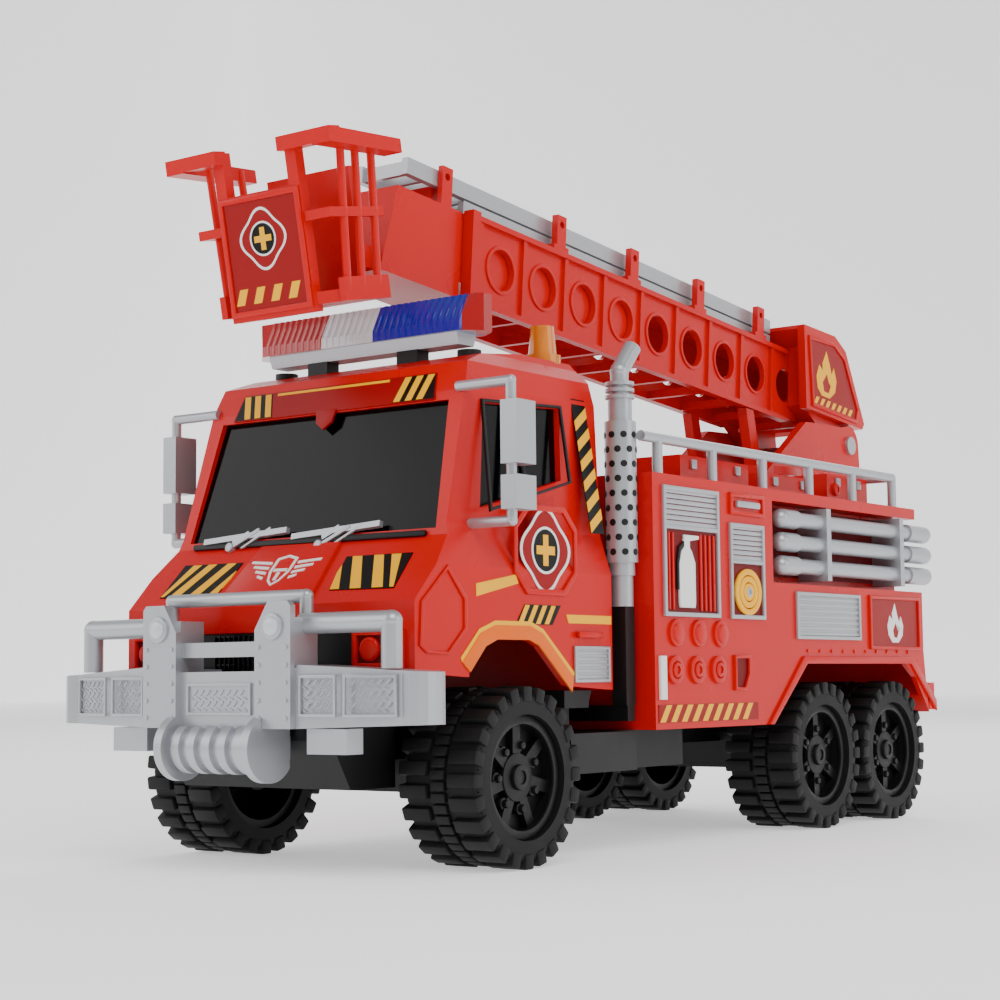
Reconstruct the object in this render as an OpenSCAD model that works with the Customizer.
// Toy fire engine: six-wheel truck with a turning, lifting and telescopic ladder boom and a basket.
// The front axle is the working origin; the last step moves the origin to the middle of the floor print.

/* [Wheels] */
// Radius of a tyre over its tread
tyre_r = 32; // [30:0.5:32.5]
// Width of a tyre
tyre_w = 33.5; // [26:0.5:35]
// Distance between the outer faces of two tyres on one axle
track_over_tyres = 159; // [156:1:164]
// Seat radius of a rim inside its tyre
rim_r = 22; // [19:0.5:24]
// Radius of the steel axle rods
axle_r = 2; // [1.5:0.1:2.5]
// Front axle to middle axle
wheelbase = 224; // [222:1:230]
// Middle axle to rear axle
bogie_base = 68; // [66:1:70]
// Number of spokes on a front rim
front_spokes = 7; // [5:1:8]
// Number of spokes on a middle or rear rim
rear_spokes = 6; // [5:1:8]

/* [Cab] */
// Half width of the cab over its doors and wings
cab_half_w = 69.5; // [66:0.5:70]
// Half width of the cab under the roof edge
roof_half_w = 62.5; // [58:0.5:64]
// Height of the cab roof
roof_z = 188.5; // [186:0.5:190]
// Wall of the moulded shells
wall = 2.4; // [1.6:0.1:3]
// Thickness of the dark window panels
glass_t = 1.4; // [1:0.1:2]

/* [Body] */
// Half width of the rear body over its side panels
body_half_w = 79.5; // [77:0.5:82]
// Front face of the rear body behind the front axle
body_front_y = 83.5; // [82:0.5:86]
// Height of the deck
deck_z = 146.5; // [140:0.5:150]
// Height of the lower edge of the rear body
body_low_z = 46.5; // [44:0.5:50]
// Radius of the deck rail tube
rail_r = 2.1; // [1.5:0.1:2.5]
// Height of the deck rail above the deck
rail_h = 14; // [12:0.5:14.5]

/* [Boom] */
// Height of the boom hinge
pivot_z = 184; // [182:0.5:190]
// Boom hinge behind the turntable centre
pivot_back = 66; // [60:1:70]
// Upward slope of the boom at rest, in degrees
boom_tilt = 4.9; // [4:0.1:8]
// Half width of the outer boom over its side plates
boom_half_w = 17; // [15:0.5:18]
// Height of the outer boom section
boom_h = 34.5; // [32:0.5:36]
// Radius of the round holes in the boom sides
boom_hole_r = 8.4; // [6:0.1:9]
// Number of round holes in each boom side
boom_holes = 9; // [5:1:9]
// Distance between the round holes
boom_hole_pitch = 29.8; // [26:0.1:30]
// Side plate of the boom
boom_wall = 2; // [1.6:0.1:2.4]

/* [Basket] */
// Forward lean of the basket at rest, in degrees
basket_lean = 10.9; // [0:0.1:14]
// Width of the basket front panel
panel_w = 40.5; // [38:0.5:44]
// Height of the basket front panel
panel_h = 44.4; // [40:0.2:46]

/* [Fits] */
// Radial clearance of pins and axles in their bores
run_gap = 0.05; // [0.02:0.01:0.1]
// Gap between parts that pass or face each other
part_gap = 0.3; // [0.2:0.05:0.5]

/* [Hidden] */
$fn = 48;
e = 0.5;                                   // overcut of a cutting shape past a face
mid_axle_y = wheelbase;
rear_axle_y = wheelbase + bogie_base;
tyre_out_x = track_over_tyres / 2;
tyre_in_x = tyre_out_x - tyre_w;
tyre_gap = 0.1;                            // rim to tyre, radially
hanger_half_w = tyre_in_x - 2;             // axle carriers end 2 mm inside the tyres

cab_low_z = 62;                            // lower edge of the cab behind the wheel arch
nose_low_z = 69;                           // lower edge of the front wings
cab_back_y = 69;
nose_y = -51;
cowl = [-28.5, 117];                         // foot of the windscreen
header = [-13.5, 170];                     // top of the windscreen

deck_back_y = 320;
chest_z = 106.5;                           // top of the lower rear lockers
chest_front_y = 173.8;
chest_back_y = 326;
recess_half_w = 68;                        // body half width behind the side tubes
slab_t = 5;                                // deck slab edge
fender_back_y = 337;
arch_half = 82.7;                          // wheel arch half length at its foot
arch_top_half = 52;                        // and at its top
arch_z = 72;
arch_mid_y = (mid_axle_y + rear_axle_y) / 2;

rail_z = deck_z + rail_h;
rail_x = body_half_w - rail_r;
rail_front_y = 79;
rail_back_y = 300;
back_post_x = 39;                          // the cross rail stops beside the pedestal
post_ys = [for (i = [0:5]) 91 + i * (rail_back_y - 91) / 5];

turn_y = 285;                              // turntable centre
ped_r = 27;                                // pedestal on the deck
ped_top_z = 163.2;
spigot_r = 9;                              // turntable spigot in the pedestal bore
plate_low_z = ped_top_z + part_gap;
plate_t = 4;
plate_top_z = plate_low_z + plate_t;
cheek_out_x = 30;
cheek_t = 4;
cheek_in_x = cheek_out_x - cheek_t;
pivot_y = turn_y + pivot_back;
pin_r = 2.5;
cheek_round_r = 10.5;
hood_low = cheek_round_r + 0.8;            // lower edge of the boom housing above the hinge

boom_low = 7.5;                            // lower face of the boom above the hinge line
boom_top = boom_low + boom_h;
boom_front_s = 307;                        // distance of the boom mouth ahead of the hinge
boom_back_s = 20;
hole_first_s = 45.7;
flange_t = 2.2;
flange_out = 2;
bore_half_w = boom_half_w - boom_wall;     // inside half width of the outer boom
tail_half_w = bore_half_w - part_gap;
tail_low = boom_low + 6;
tail_top = boom_top - flange_t - part_gap;
tail_back_s = 178;
nose_back_s = boom_front_s + 2;
nose_front_s = 357;
nose_half_w = 15.5;
ladder_half_w = 13;
low_ladder_t = 6.2;
up_ladder_low = boom_top + low_ladder_t + 1;
up_ladder_t = 6.6;
clip_s = [for (i = [0:3]) 73 + i * 57];
clip_hole_r = 1.5;
clip_w = 6.5;
clip_t = 3;
clip_top = boom_top + 15.5;
slide_travel = 110;

basket_pin_y = -15;                        // basket hinge
basket_pin_z = pivot_z + 43;
basket_pin_r = 1.5;
floor_low = -20;                           // basket floor under its hinge
floor_t = 4.5;
panel_y = -33.5;                             // front panel ahead of the hinge
basket_half_w = 39;
bar_ys = [-27, -19, -10];

bumper_front_y = -74;
winch_y = -71;
winch_half_w = 22.5;
winch_z = 43.6;
winch_r = 11.7;
front_end_y = winch_y - winch_r;
tower_back_s = 17;
rear_end_y = pivot_y + tower_back_s * cos(boom_tilt) + 14.5 * sin(boom_tilt);
mid_y = (front_end_y + rear_end_y) / 2;

module place() translate([0, -mid_y, 0]) children();

// A box given by its lowest and highest corners
module span(a, b) translate(a) cube(b - a);

// A flat outline of (y, z) points made a plate between two x positions
module side_plate(x0, x1, pts) translate([x0, 0, 0]) rotate([90, 0, 90]) linear_extrude(x1 - x0)
    polygon(pts);

// A flat outline of (x, z) points made a plate between two y positions
module front_plate(y0, y1, pts) translate([0, y1, 0]) rotate([90, 0, 0]) linear_extrude(y1 - y0)
    polygon(pts);

// A round bar along X between two x positions
module bar_x(x0, x1, r) translate([x0, 0, 0]) rotate([0, 90, 0]) cylinder(h = x1 - x0, r = r);

module bar_y(y0, y1, r) translate([0, y0, 0]) rotate([-90, 0, 0]) cylinder(h = y1 - y0, r = r);

module both_sides() {
    children();
    mirror([1, 0, 0]) children();
}

function arc(cx, cy, r, a0, a1, n) = [for (i = [0:n]) let (a = a0 + (a1 - a0) * i / n)
    [cx + r * cos(a), cy + r * sin(a)]];

// ---------- wheels ----------
module tyre() {
    shoulder = 3;
    translate([tyre_in_x, 0, 0]) rotate([90, 0, 90]) rotate_extrude($fn = 96)
        polygon([[rim_r, 1.5], [tyre_r - 5, 0], [tyre_r - 1, shoulder], [tyre_r, shoulder + 2],
            [tyre_r, tyre_w - shoulder - 2], [tyre_r - 1, tyre_w - shoulder], [tyre_r - 5, tyre_w],
                [rim_r, tyre_w - 1.5]]);
}

module tyres() color("#202020") both_sides() translate([0, 0, tyre_r]) tyre();

module rim(spokes) {
    well_w = tyre_w - 6;
    web_x = tyre_w - 12;
    web_t = 3.5;
    hub_r = 7.5;
    spoke_w = 4.4;
    translate([tyre_in_x + 3, 0, 0]) difference() {
        union() {
            difference() {
                bar_x(0, well_w, rim_r - tyre_gap);
                bar_x(-e, well_w + e, rim_r - 3);
            }
            for (i = [0:spokes - 1])
                rotate([i * 360 / spokes, 0, 0]) span([web_x, -spoke_w / 2, hub_r - 2], [web_x + web_t,
                    spoke_w / 2, rim_r - 2]);
            bar_x(2, web_x + web_t, hub_r);
        }
        bar_x(-e, web_x - 1, axle_r + run_gap);
    }
}

module rims(spokes) color("#2b2b2b") both_sides() translate([0, 0, tyre_r]) rim(spokes);

// The rods end inside the hubs
module axle() color("silver") translate([0, 0, tyre_r]) bar_x(-tyre_out_x + 16, tyre_out_x - 16, axle_r);

module front_tyres() tyres();
module front_rims() rims(front_spokes);
module front_axle() axle();
module middle_tyres() translate([0, mid_axle_y, 0]) tyres();
module middle_rims() translate([0, mid_axle_y, 0]) rims(rear_spokes);
module middle_axle() translate([0, mid_axle_y, 0]) axle();
module rear_tyres() translate([0, rear_axle_y, 0]) tyres();
module rear_rims() translate([0, rear_axle_y, 0]) rims(rear_spokes);
module rear_axle() translate([0, rear_axle_y, 0]) axle();

// ---------- chassis ----------
spine_half_w = 30;
spine_low_z = 38;

module axle_carrier(y) translate([0, y, 0]) {
    side_plate(-hanger_half_w, hanger_half_w, [[-7, tyre_r - 6], [7, tyre_r - 6], [9, spine_low_z + 4],
        [-9, spine_low_z + 4]]);
}

module chassis() color("#1c1c1c") difference() {
    union() {
        span([-spine_half_w, -44, spine_low_z], [spine_half_w, 316, cab_low_z]);
        side_plate(-40, 40, [[-60, 50.4], [-60, 46], [-50, 29], [-26, 29], [-26, 50.4]]);
        for (y = [0, mid_axle_y, rear_axle_y]) axle_carrier(y);
    }
    for (y = [0, mid_axle_y, rear_axle_y])
        translate([0, y, tyre_r]) bar_x(-hanger_half_w - e, hanger_half_w + e, axle_r + run_gap);
}

module side_tanks() color("#262626") both_sides() {
    span([spine_half_w, 41, 31], [69, 86, 46]);
    span([spine_half_w, 86, 31], [59, 136, 46]);
    side_plate(52, 67, [[40, cab_low_z], [40, 55.5], [56, 55.5], [56, 57.5], [58, cab_low_z]]);
    span([56, 44, 46], [62, 50, 55.5]);
}

// ---------- cab ----------
// Side outline of the cab, moved in by a wall t
function cab_side(t) = [
    [nose_y + t, nose_low_z - (t > 0 ? 20 : 0)], [nose_y + t, 93.5 - t * 0.6], [cowl[0] + t * 0.4,
        cowl[1] - t],
    [header[0] + t, header[1]], [-9 + t, 181 - t * 0.5], [4 + t * 0.4, roof_z - 3 - t], [30, roof_z - t],
    [cab_back_y - 6 - t, roof_z - t], [cab_back_y - 1 - t, roof_z - 6 - t * 0.4], [cab_back_y - t, 172],
    [cab_back_y - t, cab_low_z - (t > 0 ? 20 : 0)]];

// Front outline of the cab, moved in by a wall t
function cab_front(t) = let (w = cab_half_w - t, r = roof_half_w - t, z = roof_z + 4 - t)
    [[-w, 40], [w, 40], [w, 106], [r + 2.2, 121], [r, 172], [r - 2, 181], [r - 6, z - 6.5], [r - 9, z],
    [-r + 9, z], [-r + 6, z - 6.5], [-r + 2, 181], [-r, 172], [-r - 2.2, 121], [-w, 106]];

module cab_solid(t) intersection() {
    side_plate(-80, 80, cab_side(t));
    front_plate(-60, 80, cab_front(t));
}

module wheel_arch() side_plate(-90, 90, [[-24, 20], [-21, nose_low_z], [-12, 78], [-5, 80.5], [14,
    80.5], [20, 78.5],
    [33, 68], [41, cab_low_z - 0.5], [41, 20]]);

door_window = [[-3.2, 166], [44.6, 168.5], [43.8, 141], [-7.5, 127.5]];

module cab_shell() color("red") difference() {
    cab_solid(0);
    cab_solid(wall);
    wheel_arch();
    intersection() {
        side_plate(-80, 80, [[-60, 119.5], [-12, 119.5], [0, 166.5], [-60, 166.5]]);
        front_plate(-60, 0, [[-60.5, 118], [60.5, 118], [56, 168], [-56, 168]]);
    }
    side_plate(-80, 80, door_window);
    front_plate(-60, -40, [[-42, 40], [42, 40], [42, 84], [-42, 84]]);
}

// Dark panels behind the openings, one for each window
module cab_windows() color("#101010") difference() {
    intersection() {
        cab_solid(wall + part_gap / 3);
        union() {
            side_plate(-80, 80, [[-60, 116], [-13, 116], [-5, 172], [-60, 172]]);
            side_plate(-80, 80, [[-7, 171], [49, 172], [48, 137], [-14, 123]]);
        }
    }
    cab_solid(wall + part_gap / 3 + glass_t);
}

module grille() color("#151515") {
    span([-41.7, nose_y + 1.5, 56], [41.7, nose_y + 6, 83.7]);
}

// Each wiper is drawn standing on the foot of the windscreen and leant back to its slope
module wipers() color("silver") for (x = [-30, 15]) translate([x, -29.05, 118.6]) rotate([-16, 0, 0]) {
    rotate([0, -4, 0]) span([-21, -1.1, 1.1], [21, 0.9, 3.3]);
    translate([-2, 0, 1.5]) rotate([0, -27, 0]) span([-4.2, -1.1, -0.9], [4.2, 0.9, 0.9]);
}

// ---------- roof lights ----------
lamp_low_z = 194.5;
lamp_top_z = 208.5;
lamp_y0 = 0;
lamp_y1 = 17;
lamp_half_w = 56;
lamp_cuts = [-18, 8, 50];                  // where the colours change
lamp_out = [[lamp_y0, lamp_low_z], [lamp_y0, lamp_low_z + 4], [lamp_y0 + 5, lamp_top_z], [lamp_y1 - 5,
    lamp_top_z],
    [lamp_y1, lamp_low_z + 4], [lamp_y1, lamp_low_z]];

// The lens bar between two x positions, its ends cut off at the corners
module lens(x0, x1) intersection() {
    side_plate(x0, x1, lamp_out);
    linear_extrude(300) polygon([[-lamp_half_w + 7, lamp_y0], [lamp_half_w - 7, lamp_y0], [lamp_half_w,
        lamp_y0 + 7],
        [lamp_half_w, lamp_y1 - 5], [lamp_half_w - 7, lamp_y1], [-lamp_half_w + 7, lamp_y1],
            [-lamp_half_w, lamp_y1 - 5],
        [-lamp_half_w, lamp_y0 + 7]]);
}

module lamp_red() color("#e01515") {
    lens(-lamp_half_w, lamp_cuts[0] - 0.1);
    lens(lamp_cuts[2] + 0.1, lamp_half_w);
}
module lamp_white() color("white") lens(lamp_cuts[0], lamp_cuts[1]);
module lamp_blue() color("#1040c0") lens(lamp_cuts[1] + 0.1, lamp_cuts[2]);
module lamp_base() color("#b5b5b8") side_plate(-47, 47, [[lamp_y0 + 2, lamp_low_z], [lamp_y0 + 3.5,
    lamp_low_z - 4.5],
    [lamp_y1 - 4.5, lamp_low_z - 4.5], [lamp_y1 - 3, lamp_low_z]]);
module lamp_posts() color("#151515") difference() {
    union() {
        for (x = [-22.5, 22.5]) span([x - 5, 3, roof_z - 6], [x + 5, 10, lamp_low_z - 4.5]);
        for (x = [-46, 46]) translate([x, 11, roof_z - 6]) cylinder(h = 6, r = 4.5);
    }
    cab_solid(0);
}
module beacon() color("orange") difference() {
    translate([48.5, 54.5, roof_z - 4]) {
        cylinder(h = 7, r = 7.2);
        translate([0, 0, 7]) cylinder(h = 11.5, r1 = 5.6, r2 = 4.6);
    }
    cab_solid(0);
}

// ---------- mirrors ----------
mirror_x = 83;
mirror_y = -13.5;
arm_r = 1.9;
module mirror_side() {
    for (z = [171, 121.5]) translate([0, mirror_y, z]) bar_x(roof_half_w - 3, mirror_x, arm_r);
    translate([mirror_x, mirror_y, 121.5]) cylinder(h = 49.5, r = arm_r);
    for (z = [121.5, 171]) translate([mirror_x, mirror_y, z]) sphere(r = arm_r + 0.1);
    span([mirror_x - 2.5, mirror_y - 3, 141.5], [mirror_x + 4.5, mirror_y + 8.5, 164]);
    span([mirror_x - 2.5, mirror_y - 3, 125.5], [mirror_x + 4.5, mirror_y + 8.5, 137.5]);
}
module mirror_left() color("silver") difference() {
    mirror_side();
    cab_solid(0);
}
module mirror_right() mirror([1, 0, 0]) mirror_left();

// ---------- front guard ----------
wing_end = 88;
module bumper() color("silver") intersection() {
    linear_extrude(100) polygon(concat([[-36, bumper_front_y + 1], [36, bumper_front_y + 1], [78,
        bumper_front_y + 6]],
        arc(wing_end - 9, -61, 9, -70, 70, 7), [[76, -52.5], [-76, -52.5]], arc(-wing_end + 9, -61, 9,
            110, 250, 7),
        [[-78, bumper_front_y + 6]]));
    front_plate(-90, -45, [[-90, 52], [-36, 50.5], [36, 50.5], [90, 52], [90, 69], [36, 72], [36, 71],
        [19, 71], [19, 70],
        [-19, 70], [-19, 71], [-36, 71], [-36, 72], [-90, 69]]);
}

module bumper_uprights() color("silver") both_sides()
    front_plate(bumper_front_y - 1.5, bumper_front_y + 1, [[19, 50.5], [35.5, 50.5], [35.5, 92], [34,
        93.6], [25, 93.6], [19, 84]]);

module guard_tubes() color("silver") {
    hoop_x = 32.5;
    hoop_z = 95.5;
    hoop_y = bumper_front_y + 10;
    loop_x = 72;
    loop_z = 86;
    loop_y = bumper_front_y + 8;
    both_sides() {
        translate([hoop_x, hoop_y, 71.2]) cylinder(h = hoop_z - 71.2, r = 2.4);
        translate([hoop_x, hoop_y, hoop_z]) sphere(r = 2.5);
        translate([0, loop_y, loop_z]) bar_x(hoop_x, loop_x, 3.6);
        translate([loop_x, loop_y, 70.4]) cylinder(h = loop_z - 70.4, r = 3.6);
        translate([loop_x, loop_y, loop_z]) sphere(r = 3.7);
        span([19.2, bumper_front_y + 1, 71], [35.3, bumper_front_y + 12.5, 88]);
    }
    translate([0, hoop_y, hoop_z]) bar_x(-hoop_x, hoop_x, 2.4);
    span([-19.2, bumper_front_y + 2, 75], [19.2, bumper_front_y + 6, 80.2]);
}

module bumper_boxes() color("silver") both_sides() span([38.5, -70.5, 42], [56, -62, 50.5]);

module winch() color("silver") difference() {
    translate([0, winch_y, winch_z]) {
        plate_t = 3.6;
        for (x = [-winch_half_w, winch_half_w - plate_t]) difference() {
            bar_x(x, x + plate_t, winch_r);
            span([x - e, 9.5, -winch_r - 1], [x + plate_t + e, winch_r + 1, winch_r + 1]);
        }
        for (i = [0:4]) translate([(i - 2) * 7.4, 0, 0]) bar_x(-1.8, 1.8, 9);
        bar_x(-winch_half_w + 2, winch_half_w - 2, 7.4);
        span([-winch_half_w + 1, 1, -4], [winch_half_w - 1, 10.8, 4]);
    }
    span([-40, bumper_front_y - 1.6, 50.5], [40, -50, 60]);
}

// ---------- exhausts ----------
pipe_x = 70;
pipe_y = 76;
module exhaust() translate([pipe_x, pipe_y, 0]) {
    translate([0, 0, 94]) cylinder(h = 12, r = 4.2);
    translate([0, 0, 106]) cylinder(h = 5, r = 5);
    translate([0, 0, 111]) cylinder(h = 55, r = 6.2);
    translate([0, 0, 166]) cylinder(h = 9, r = 4.7);
    for (i = [0:2]) translate([0, 0, 175 + i * 2.6]) cylinder(h = 1.4, r = 5.7);
    translate([0, 0, 175]) cylinder(h = 11, r = 3.6);
    translate([0, 0, 186]) {
        sphere(r = 3.75);
        rotate([-42, 0, 0]) cylinder(h = 14, r = 3.6);
    }
}
module exhaust_left() color("silver") exhaust();
module exhaust_right() mirror([1, 0, 0]) exhaust_left();
module exhaust_brackets() color("#1c1c1c") both_sides() {
    span([pipe_x - 3.2, pipe_y - 3.2, 56], [pipe_x + 3.2, pipe_y + 3.2, 94]);
    span([spine_half_w, pipe_y - 2.5, 50], [pipe_x + 3.2, pipe_y + 2.5, 56]);
}

// ---------- rear body ----------
module arch_cut() side_plate(-100, 100, [[arch_mid_y - arch_half, 20], [arch_mid_y - arch_half, body_low_z],
    [arch_mid_y - arch_top_half - 12, 66], [arch_mid_y - arch_top_half, arch_z],
        [arch_mid_y + arch_top_half - 4, arch_z],
    [arch_mid_y + arch_top_half + 6, 66], [arch_mid_y + arch_half - 8, body_low_z],
        [arch_mid_y + arch_half - 8, 20]]);

module body_outer(t) {
    w = body_half_w - t;
    low = t > 0 ? 20 : body_low_z;
    span([-w, body_front_y + t, low], [w, chest_front_y + 5 - t, deck_z - t]);
    span([-w, chest_front_y - 5, low], [w, chest_back_y - t, chest_z - t]);
    span([-recess_half_w + t, chest_front_y - 5, low], [recess_half_w - t, deck_back_y - t, deck_z - t]);
}

module body_shell() color("red") difference() {
    union() {
        body_outer(0);
        span([-body_half_w, chest_front_y, deck_z - slab_t], [body_half_w, deck_back_y, deck_z]);
        side_plate(-body_half_w, body_half_w, [[chest_back_y - 5, 78.5], [chest_back_y, 78.5],
            [fender_back_y - 9, 64],
            [fender_back_y - 6, body_low_z], [chest_back_y - 5, body_low_z]]);
    }
    body_outer(wall);
    arch_cut();
    span([-spine_half_w - part_gap, body_front_y - e, 20], [spine_half_w + part_gap,
        body_front_y + wall + e, cab_low_z]);
    span([-spine_half_w - part_gap, chest_back_y - 6, 20], [spine_half_w + part_gap, fender_back_y + 1,
        cab_low_z]);
    span([-body_half_w + wall, chest_back_y - 8, 20], [body_half_w - wall, chest_back_y - wall, 76]);
}

module deck_lockers() color("red") both_sides() {
    for (v = [[126.6, 182.8, 158], [196, 241.4, 156], [256, 297, 160]])
        span([42, v[0], deck_z], [66, v[1], v[2]]);
}

module rear_step() color("red") span([-body_half_w, fender_back_y - 6, 50], [body_half_w,
    fender_back_y, 63]);

module deck_rail() color("silver") {
    both_sides() {
        translate([rail_x, 0, rail_z]) bar_y(rail_front_y, rail_back_y, rail_r);
        translate([rail_x, rail_back_y, rail_z]) sphere(r = rail_r);
        for (y = post_ys) translate([rail_x, y, deck_z]) cylinder(h = rail_h, r = rail_r);
    }
    both_sides() {
        translate([0, rail_back_y, rail_z]) bar_x(back_post_x, rail_x, rail_r);
        translate([back_post_x, rail_back_y, rail_z]) sphere(r = rail_r);
        translate([back_post_x, rail_back_y, deck_z]) cylinder(h = rail_h, r = rail_r);
    }
}

tube_x = 78.5;
tube_zs = [114.3, 124.4, 134.5];
module side_tubes() {
    for (z = tube_zs) translate([tube_x, 0, z]) {
        bar_y(188, 330, 3.4);
        translate([0, 188, 0]) sphere(r = 4.2);
        bar_y(188, 200, 4.2);
        bar_y(310, 330, 4.2);
        translate([0, 330, 0]) sphere(r = 4.2);
    }
    for (y = [222, 296]) span([recess_half_w, y, 108.5], [83, y + 4, 140.5]);
}
module side_tubes_left() color("silver") side_tubes();
module side_tubes_right() mirror([1, 0, 0]) side_tubes_left();

module pedestal() color("red") translate([0, turn_y, 0]) difference() {
    union() {
        translate([0, 0, deck_z]) cylinder(h = ped_top_z - deck_z, r = ped_r, $fn = 96);
        translate([0, 0, deck_z]) cylinder(h = 5, r = 36, $fn = 96);
    }
    translate([0, 0, deck_z + 2]) cylinder(h = 30, r = spigot_r + run_gap);
}

// ---------- turntable ----------
cheek_pts = concat([[turn_y - 22, plate_low_z], [turn_y + 20, 192], [pivot_y - 26, pivot_z + 8.8],
    [pivot_y - 8, pivot_z + 8.8]],
    arc(pivot_y, pivot_z, cheek_round_r, 85, 0, 8), [[pivot_y + 12, plate_low_z + 4], [pivot_y + 12,
        plate_low_z]]);
leg_y = turn_y - 9;
module turntable() color("red") difference() {
    union() {
        translate([0, turn_y, plate_low_z]) cylinder(h = plate_t, r = 33, $fn = 96);
        span([-cheek_out_x, turn_y, plate_low_z], [cheek_out_x, pivot_y + 12, plate_top_z]);
        translate([0, turn_y, deck_z + 2.3]) cylinder(h = plate_low_z - deck_z, r = spigot_r);
        both_sides() {
            side_plate(cheek_in_x, cheek_out_x, cheek_pts);
            side_plate(13, 18, [[leg_y - 2, plate_low_z], [leg_y - 9, boom_under(leg_y - 9)],
                [leg_y - 2, boom_under(leg_y - 2)], [leg_y + 6, plate_low_z]]);
        }
    }
    translate([0, pivot_y, pivot_z]) bar_x(-cheek_out_x - e, cheek_out_x + e, pin_r + run_gap);
}
// Height just under the resting boom at a given place along the truck
function boom_under(y) = pivot_z + (pivot_y - y) * tan(boom_tilt) + (boom_low - flange_t)
    / cos(boom_tilt) - part_gap;

module boom_pin() color("silver") translate([0, pivot_y, pivot_z]) {
    bar_x(-cheek_out_x, cheek_out_x, pin_r);
    both_sides() bar_x(cheek_out_x, cheek_out_x + 1.6, 4.6);
}

// ---------- boom, drawn with the hinge as origin and the front along -Y ----------
module boom_frame() translate([0, pivot_y, pivot_z]) rotate([-boom_tilt, 0, 0]) children();

module outer_boom() color("red") boom_frame() {
    difference() {
        union() {
            both_sides() {
                span([bore_half_w, -boom_front_s, boom_low], [boom_half_w, -boom_back_s, boom_top]);
                span([bore_half_w, -boom_front_s, boom_low - flange_t], [boom_half_w + flange_out,
                    -boom_back_s - 26, boom_low]);
                span([bore_half_w, -boom_front_s, boom_top - flange_t], [boom_half_w + flange_out,
                    -boom_back_s - 26, boom_top]);
                for (i = [1:boom_holes]) translate([0, -hole_first_s - (i - 0.5) * boom_hole_pitch, 0])
                    span([bore_half_w, -1.2, boom_low], [boom_half_w + 1.4, 1.2, boom_top]);
                span([bore_half_w, -boom_front_s, boom_low - flange_t], [boom_half_w + 3,
                    -boom_front_s + 5, boom_top + 1]);
            }
            span([-boom_half_w, -boom_front_s, boom_top - flange_t], [boom_half_w, -boom_back_s, boom_top]);
            for (i = [0:boom_holes]) translate([0, -hole_first_s - (i - 0.5) * boom_hole_pitch, 0])
                span([-boom_half_w, -1.2, boom_low - flange_t], [boom_half_w, 1.2, boom_low + 1.5]);
        }
        for (i = [0:boom_holes - 1]) translate([0, -hole_first_s - i * boom_hole_pitch,
            boom_low + boom_h / 2 - 1])
            bar_x(-boom_half_w - 4, boom_half_w + 4, boom_hole_r);
    }
}

hood_pts = [[-50, boom_top + 11], [-17, boom_top + 12], [-5, boom_top + 6.5], [tower_back_s, 14.5],
    [15, hood_low], [-46, hood_low]];
module boom_housing() color("red") boom_frame() difference() {
    union() {
        both_sides() {
            side_plate(cheek_in_x, cheek_out_x, hood_pts);
            side_plate(boom_half_w + 0.1, cheek_in_x - part_gap, concat([[-42, 14], [-42,
                boom_top + 4], [-8, boom_top + 4], [6, 20]],
                arc(0, 0, 9.5, 20, -160, 12)));
        }
        side_plate(-cheek_in_x, cheek_in_x, [[-40, boom_top + 0.1], [-50, boom_top + 9.2], [-50,
            boom_top + 11], [-17, boom_top + 12],
            [-5, boom_top + 6.5], [tower_back_s, 14.5], [15, hood_low], [12, 13], [-12, boom_top + 0.1]]);
        both_sides() span([cheek_in_x - part_gap - e, -36, 20], [cheek_in_x + e, -14, boom_top + 3]);
    }
    bar_x(-cheek_in_x - e, cheek_in_x + e, pin_r + run_gap);
}

// One ladder: two stiles and rungs
module ladder(s0, s1, low, t) {
    both_sides() span([ladder_half_w - 3, -s1, low], [ladder_half_w, -s0, low + t]);
    for (s = [s0 + 4:10:s1 - 2]) span([-ladder_half_w + 1, -s - 1, low + 0.6], [ladder_half_w - 1,
        -s + 1, low + t - 0.6]);
}

module lower_ladder() color("silver") boom_frame() ladder(54, boom_front_s - 2, boom_top, low_ladder_t);

module clip(s) translate([0, -s, 0]) difference() {
    union() {
        span([boom_half_w - 1.6, -clip_w / 2, boom_top], [boom_half_w - 1.6 + clip_t, clip_w / 2,
            clip_top]);
        span([boom_half_w - 2.5, -clip_w / 2 - 2, boom_top], [boom_half_w + 1.5, clip_w / 2 + 2,
            boom_top + 2.4]);
    }
    translate([0, 0, clip_top - 4]) bar_x(boom_half_w - 4, boom_half_w + 4, clip_hole_r);
}
module ladder_clips() color("red") boom_frame() both_sides() for (s = clip_s) clip(s);

module inner_boom() color("red") boom_frame() difference() {
    union() {
        side_plate(-nose_half_w, nose_half_w, [[-nose_back_s, boom_low - 1], [-nose_back_s, boom_top - 0.2],
            [-nose_front_s + 8, boom_top - 0.2], [-nose_front_s, boom_low - 1]]);
        span([-tail_half_w, -nose_back_s, tail_low], [tail_half_w, -tail_back_s, tail_top]);
        both_sides() side_plate(7, 11, concat(arc(pin_local_y, pin_local_z, lug_r, 90, 270, 12),
            [[-nose_front_s + 6, pin_local_z - lug_r], [-nose_front_s + 6, pin_local_z + lug_r]]));
    }
    span([-tail_half_w + wall, -nose_front_s + 12, tail_low + wall], [tail_half_w - wall,
        -tail_back_s + e, tail_top - wall]);
    basket_pin_hole();
}

// The basket pin in the boom's own frame, and the round of its lugs, which clears the basket's back
pin_local_y = (basket_pin_y - pivot_y) * cos(boom_tilt) - (basket_pin_z - pivot_z) * sin(boom_tilt);
pin_local_z = (basket_pin_y - pivot_y) * sin(boom_tilt) + (basket_pin_z - pivot_z) * cos(boom_tilt);
lug_r = 4.2;

module basket_pin_hole() translate([0, pin_local_y, pin_local_z]) bar_x(-20, 20, basket_pin_r + run_gap);

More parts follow.
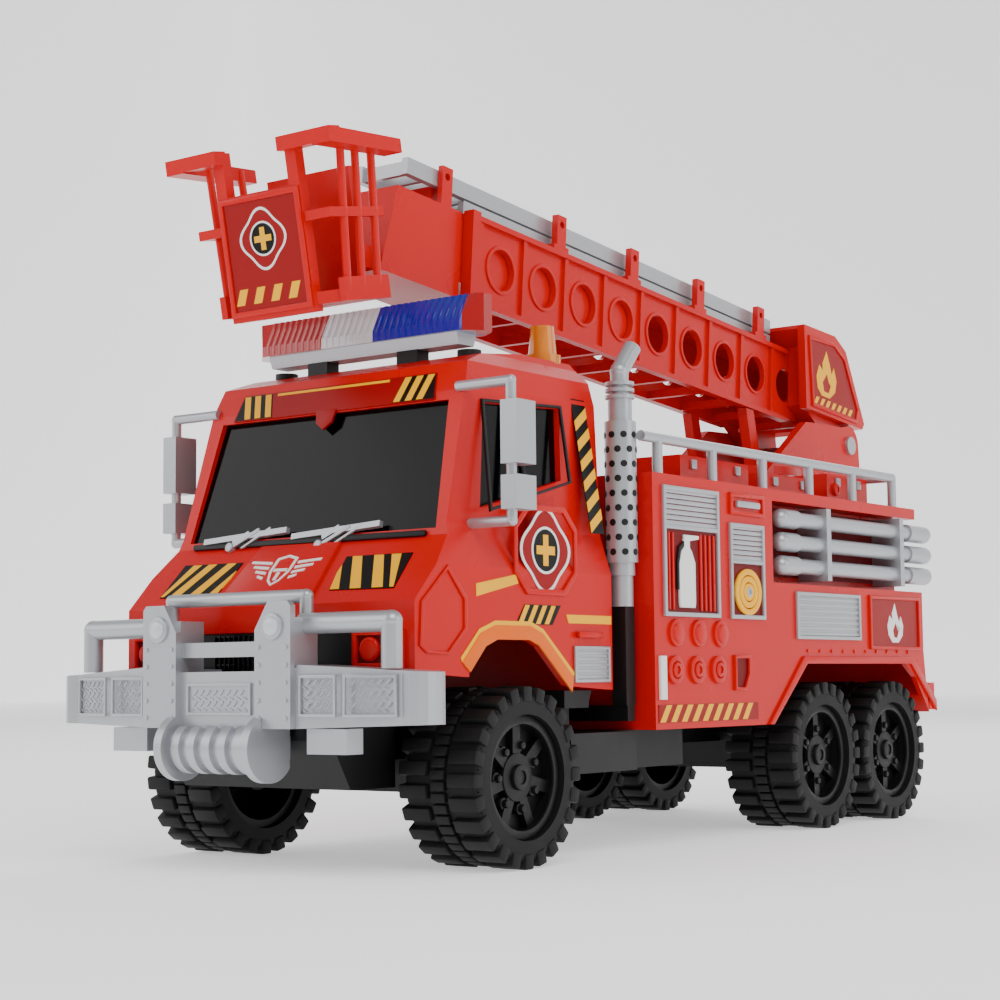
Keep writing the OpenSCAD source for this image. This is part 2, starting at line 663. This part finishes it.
module upper_ladder() color("silver") boom_frame() ladder(54, nose_front_s - 16, up_ladder_low,
    up_ladder_t);

module front_clips() color("red") boom_frame() {
    s = nose_back_s + 10;
    both_sides() difference() {
        span([ladder_half_w + 0.2, -s - clip_w / 2, boom_top - 0.2], [nose_half_w, -s + clip_w / 2,
            clip_top]);
        translate([0, -s, clip_top - 4]) bar_x(ladder_half_w - 2, nose_half_w + 2, clip_hole_r);
    }
    span([-ladder_half_w + 3.2, -s - clip_w / 2, boom_top - 0.2], [ladder_half_w - 3.2,
        -s + clip_w / 2, up_ladder_low + 0.6]);
}

// ---------- basket, drawn with its hinge as origin ----------
module basket_frame() translate([0, basket_pin_y, basket_pin_z]) rotate([basket_lean, 0, 0]) children();

// A straight bar from the floor edge to the inner side of the top rail
module side_bar(y, x, z0, z1, r) hull() {
    translate([x - r, y, z0]) cylinder(h = 1, r = r, $fn = 12);
    translate([x + 1.5, y + 2, z1]) cylinder(h = 1, r = r, $fn = 12);
}

module linear_extrude_at(z, h) translate([0, 0, z]) linear_extrude(h) children();

module basket() color("red") basket_frame() difference() {
    floor_top = floor_low + floor_t;
    back_y = -5;
    side_x = 31;
    bar_r = 1.5;
    rail_low = 35.5;
    rail_y = panel_y - 6;
    union() {
        linear_extrude_at(floor_low, floor_t) polygon([[-panel_w / 2, panel_y], [panel_w / 2, panel_y],
            [side_x, panel_y + 7],
            [side_x, back_y], [-side_x, back_y], [-side_x, panel_y + 7], [-panel_w / 2, panel_y]]);
        span([-panel_w / 2, panel_y - 2, floor_low - 2.5], [panel_w / 2, panel_y + 2.4,
            floor_low - 1 + panel_h]);
        span([-panel_w / 2, back_y - 2.4, floor_low], [panel_w / 2, back_y, 30]);
        both_sides() {
            for (y = bar_ys) side_bar(y, side_x, floor_top, rail_low, bar_r);
            span([side_x - 3, bar_ys[0] - 3, floor_low], [side_x, back_y, floor_top + 4]);
            span([side_x - 1.5, bar_ys[0] - 5, 9.8], [side_x + 1.5, back_y, 13.3]);
            span([panel_w / 2 - 1, bar_ys[0] - 8, 9.8], [side_x + 1.5, bar_ys[0] - 5 + 0.1, 13.3]);
            span([panel_w / 2 - 2, panel_y, 9.8], [panel_w / 2, bar_ys[0] - 5, 13.3]);
            side_plate(side_x + 1, side_x + 9.5, [[rail_y, rail_low - 0.4], [rail_y, 40.6], [0, 36.6],
                [0, rail_low - 4]]);
            span([panel_w / 2 - 5, rail_y, rail_low], [side_x + 9.5, panel_y, 40.6]);
            span([panel_w / 2 - 5, panel_y - 2, floor_low - 2 + panel_h], [panel_w / 2, panel_y + 2.4, 40]);
        }
        side_plate(-7 + part_gap, 7 - part_gap, concat([[back_y - e, 6]], arc(0, 0, 4, 70, -70, 6),
            [[back_y - e, -6]]));
    }
    bar_x(-20, 20, basket_pin_r + run_gap);
}

module basket_pin() color("silver") translate([0, basket_pin_y, basket_pin_z]) bar_x(-11, 11, basket_pin_r);

place() chassis();
place() side_tanks();
place() front_tyres();
place() front_rims();
place() front_axle();
place() middle_tyres();
place() middle_rims();
place() middle_axle();
place() rear_tyres();
place() rear_rims();
place() rear_axle();
place() cab_shell();
place() cab_windows();
place() grille();
place() wipers();
place() lamp_red();
place() lamp_white();
place() lamp_blue();
place() lamp_base();
place() lamp_posts();
place() beacon();
place() mirror_left();
place() mirror_right();
place() bumper();
place() bumper_uprights();
place() guard_tubes();
place() bumper_boxes();
place() winch();
place() exhaust_left();
place() exhaust_right();
place() exhaust_brackets();
place() body_shell();
place() deck_lockers();
place() rear_step();
place() deck_rail();
place() side_tubes_left();
place() side_tubes_right();
place() pedestal();
place() turntable();
place() boom_pin();
place() outer_boom();
place() boom_housing();
place() lower_ladder();
place() ladder_clips();
place() inner_boom();
place() upper_ladder();
place() front_clips();
place() basket();
place() basket_pin();
